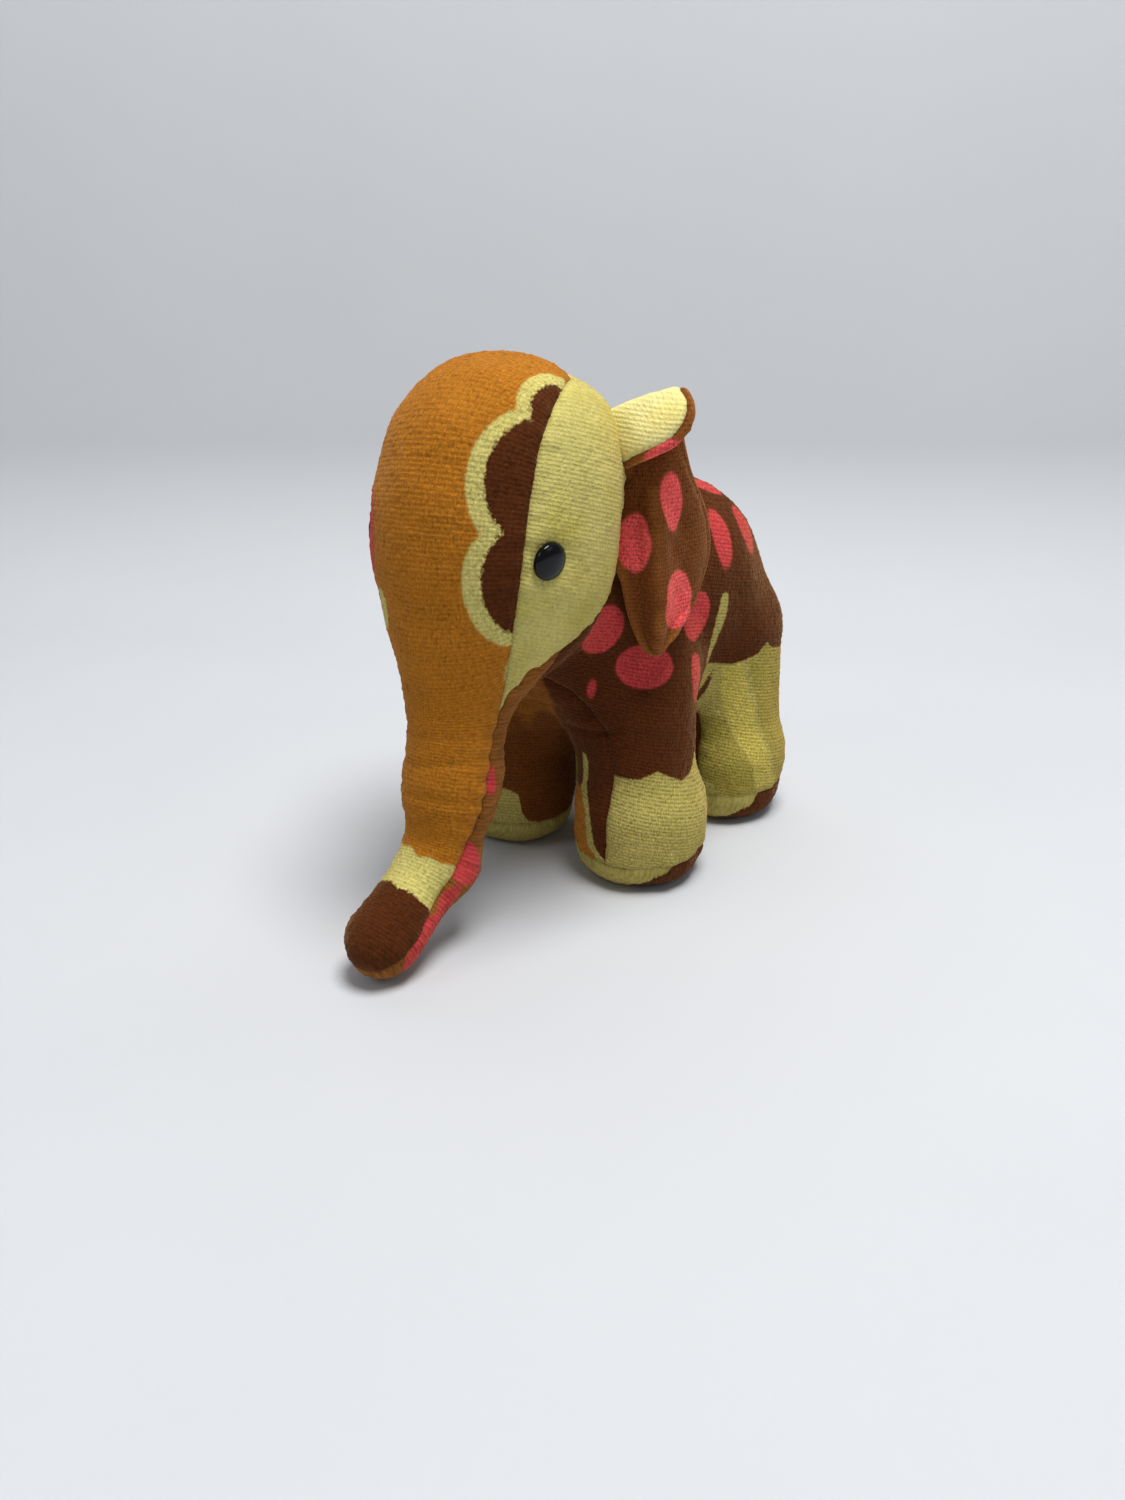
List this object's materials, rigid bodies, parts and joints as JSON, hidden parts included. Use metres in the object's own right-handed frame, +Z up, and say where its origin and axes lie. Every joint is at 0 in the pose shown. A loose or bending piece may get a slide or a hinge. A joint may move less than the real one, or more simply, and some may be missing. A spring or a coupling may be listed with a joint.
{
  "type": "stuffed toy elephant",
  "caption": "Small stuffed elephant sewn from velour panels, with a long trunk resting on the floor, hanging two-layer ears, a short tail and glossy snap-in eyes.",
  "frame": {"origin": "on the floor, in the middle of the box round the whole toy", "axes": "+Z up; the elephant faces -Y, its length runs along Y, and its left side is +X"},
  "size_m": [0.1022, 0.2136, 0.1805],
  "materials": {
    "orange_velour": "ribbed knit velour, short pile, orange-tan ground with a printed cream and brown cloud border",
    "cream_velour": "ribbed knit velour, short pile, pale cream-yellow",
    "brown_velour": "ribbed knit velour, short pile, rust brown printed with coral pink spots",
    "fibre_fill": "loose white polyester fibre",
    "eye_plastic": "polished black plastic dome",
    "washer_plastic": "plain moulded plastic"
  },
  "bodies": {
    "body": {"forehead_trunk_panel": "orange_velour", "trunk_underside_panel": "brown_velour", "belly_panel": "brown_velour", "head_stuffing": "fibre_fill", "trunk_stuffing": "fibre_fill", "body_stuffing": "fibre_fill", "sole_front_left": "cream_velour", "leg_stuffing_front_left": "fibre_fill", "sole_front_right": "cream_velour", "leg_stuffing_front_right": "fibre_fill", "sole_hind_left": "cream_velour", "leg_stuffing_hind_left": "fibre_fill", "sole_hind_right": "cream_velour", "leg_stuffing_hind_right": "fibre_fill", "cheek_panel_left": "cream_velour", "body_panel_left": "brown_velour", "eye_left": "eye_plastic", "eye_washer_left": "washer_plastic", "cheek_panel_right": "cream_velour", "body_panel_right": "brown_velour", "eye_right": "eye_plastic", "eye_washer_right": "washer_plastic"},
    "ear_left": {"ear_outer_left": "brown_velour", "ear_inner_left": "cream_velour"},
    "ear_right": {"ear_outer_right": "brown_velour", "ear_inner_right": "cream_velour"},
    "tail": {"tail": "brown_velour"}
  },
  "joints": [
    {"name": "ear_left_flap", "type": "hinge", "parent": "body", "child": "ear_left", "pos_m": [0.0338, -0.0113, 0.128], "axis": [0, 0, -1], "range_deg": [-8, 45], "stiffness_Nm_per_rad": 0.0015},
    {"name": "ear_right_flap", "type": "hinge", "parent": "body", "child": "ear_right", "pos_m": [-0.0338, -0.0113, 0.128], "axis": [0, 0, 1], "range_deg": [-8, 45], "stiffness_Nm_per_rad": 0.0015},
    {"name": "tail_lift", "type": "hinge", "parent": "body", "child": "tail", "pos_m": [0, 0.1016, 0.0925], "axis": [1, 0, 0], "range_deg": [-10, 75], "stiffness_Nm_per_rad": 0.0003}
  ]
}
